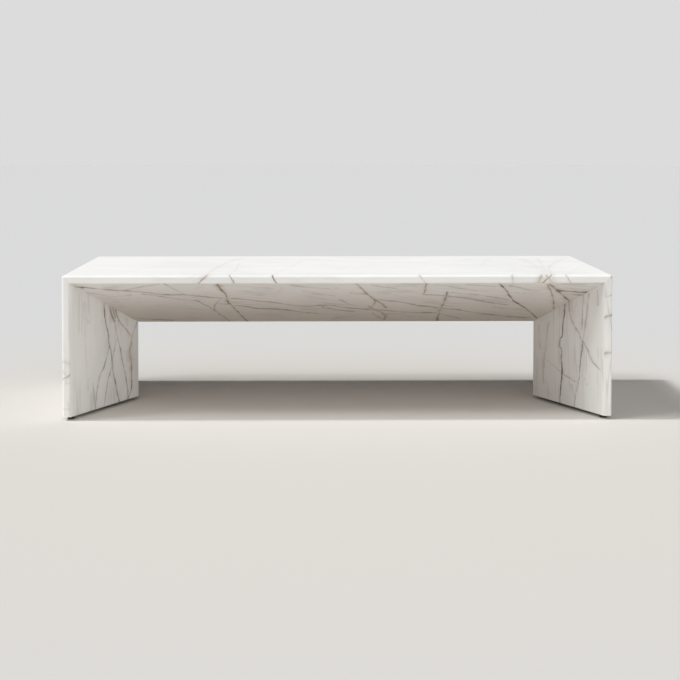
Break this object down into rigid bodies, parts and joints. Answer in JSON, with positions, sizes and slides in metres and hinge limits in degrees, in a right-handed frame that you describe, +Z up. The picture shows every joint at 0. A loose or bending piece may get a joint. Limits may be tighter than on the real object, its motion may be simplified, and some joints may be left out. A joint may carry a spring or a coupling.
{
  "type": "coffee table",
  "caption": "Low rectangular waterfall coffee table in white veined marble: thin-edged top and legs, V-shaped in section, over an inner metal frame, on small levelling feet.",
  "frame": {"origin": "middle of the footprint, on the floor under the levelling feet", "axes": "+X along the table's length, to the right as seen from the front, +Y from the front edge to the rear edge, +Z up"},
  "size_m": [1.524, 0.7, 0.403],
  "materials": {
    "marble": "satin",
    "frame_aluminium": "satin",
    "stainless_steel": "satin",
    "foot_nylon": "matte"
  },
  "bodies": {
    "root": {"frame_spine": "frame_aluminium", "front_under_panel": "marble", "left_base_plate": "frame_aluminium", "left_base_plate_screws": "stainless_steel", "left_frame_post": "frame_aluminium", "left_front_corner_angle": "frame_aluminium", "left_front_foot_insert": "stainless_steel", "left_leg_front_panel": "marble", "left_leg_lower_rib": "frame_aluminium", "left_leg_rear_panel": "marble", "left_leg_slab": "marble", "left_leg_upper_rib": "frame_aluminium", "left_post_plug": "frame_aluminium", "left_rear_corner_angle": "frame_aluminium", "left_rear_foot_insert": "stainless_steel", "rear_under_panel": "marble", "right_base_plate": "frame_aluminium", "right_base_plate_screws": "stainless_steel", "right_frame_post": "frame_aluminium", "right_front_corner_angle": "frame_aluminium", "right_front_foot_insert": "stainless_steel", "right_leg_front_panel": "marble", "right_leg_lower_rib": "frame_aluminium", "right_leg_rear_panel": "marble", "right_leg_slab": "marble", "right_leg_upper_rib": "frame_aluminium", "right_post_plug": "frame_aluminium", "right_rear_corner_angle": "frame_aluminium", "right_rear_foot_insert": "stainless_steel", "top_rib_1": "frame_aluminium", "top_rib_2": "frame_aluminium", "top_rib_3": "frame_aluminium", "top_rib_4": "frame_aluminium", "top_rib_5": "frame_aluminium", "top_slab": "marble"},
    "left_front_pad": {"left_front_foot_pad": "foot_nylon"},
    "left_front_stem": {"left_front_foot_stem": "stainless_steel"},
    "left_rear_pad": {"left_rear_foot_pad": "foot_nylon"},
    "left_rear_stem": {"left_rear_foot_stem": "stainless_steel"},
    "right_front_pad": {"right_front_foot_pad": "foot_nylon"},
    "right_front_stem": {"right_front_foot_stem": "stainless_steel"},
    "right_rear_pad": {"right_rear_foot_pad": "foot_nylon"},
    "right_rear_stem": {"right_rear_foot_stem": "stainless_steel"}
  },
  "joints": [
    {"name": "left_front_foot_height", "type": "slide", "parent": "root", "child": "left_front_pad", "axis": [0, 0, -1], "range_m": [0, 0.012]},
    {"name": "left_front_foot_turn", "type": "hinge", "parent": "left_front_pad", "child": "left_front_stem", "pos_m": [-0.744, -0.315, 0], "axis": [0, 0, -1], "range_deg": [0, 3456]},
    {"name": "left_rear_foot_height", "type": "slide", "parent": "root", "child": "left_rear_pad", "axis": [0, 0, -1], "range_m": [0, 0.012]},
    {"name": "left_rear_foot_turn", "type": "hinge", "parent": "left_rear_pad", "child": "left_rear_stem", "pos_m": [-0.744, 0.315, 0], "axis": [0, 0, -1], "range_deg": [0, 3456]},
    {"name": "right_front_foot_height", "type": "slide", "parent": "root", "child": "right_front_pad", "axis": [0, 0, -1], "range_m": [0, 0.012]},
    {"name": "right_front_foot_turn", "type": "hinge", "parent": "right_front_pad", "child": "right_front_stem", "pos_m": [0.744, -0.315, 0], "axis": [0, 0, -1], "range_deg": [0, 3456]},
    {"name": "right_rear_foot_height", "type": "slide", "parent": "root", "child": "right_rear_pad", "axis": [0, 0, -1], "range_m": [0, 0.012]},
    {"name": "right_rear_foot_turn", "type": "hinge", "parent": "right_rear_pad", "child": "right_rear_stem", "pos_m": [0.744, 0.315, 0], "axis": [0, 0, -1], "range_deg": [0, 3456]}
  ],
  "couplings": [
    {"joint": "left_front_foot_turn", "follows": "left_front_foot_height", "rad_per_m": 5026.5},
    {"joint": "left_rear_foot_turn", "follows": "left_rear_foot_height", "rad_per_m": 5026.5},
    {"joint": "right_front_foot_turn", "follows": "right_front_foot_height", "rad_per_m": 5026.5},
    {"joint": "right_rear_foot_turn", "follows": "right_rear_foot_height", "rad_per_m": 5026.5}
  ]
}
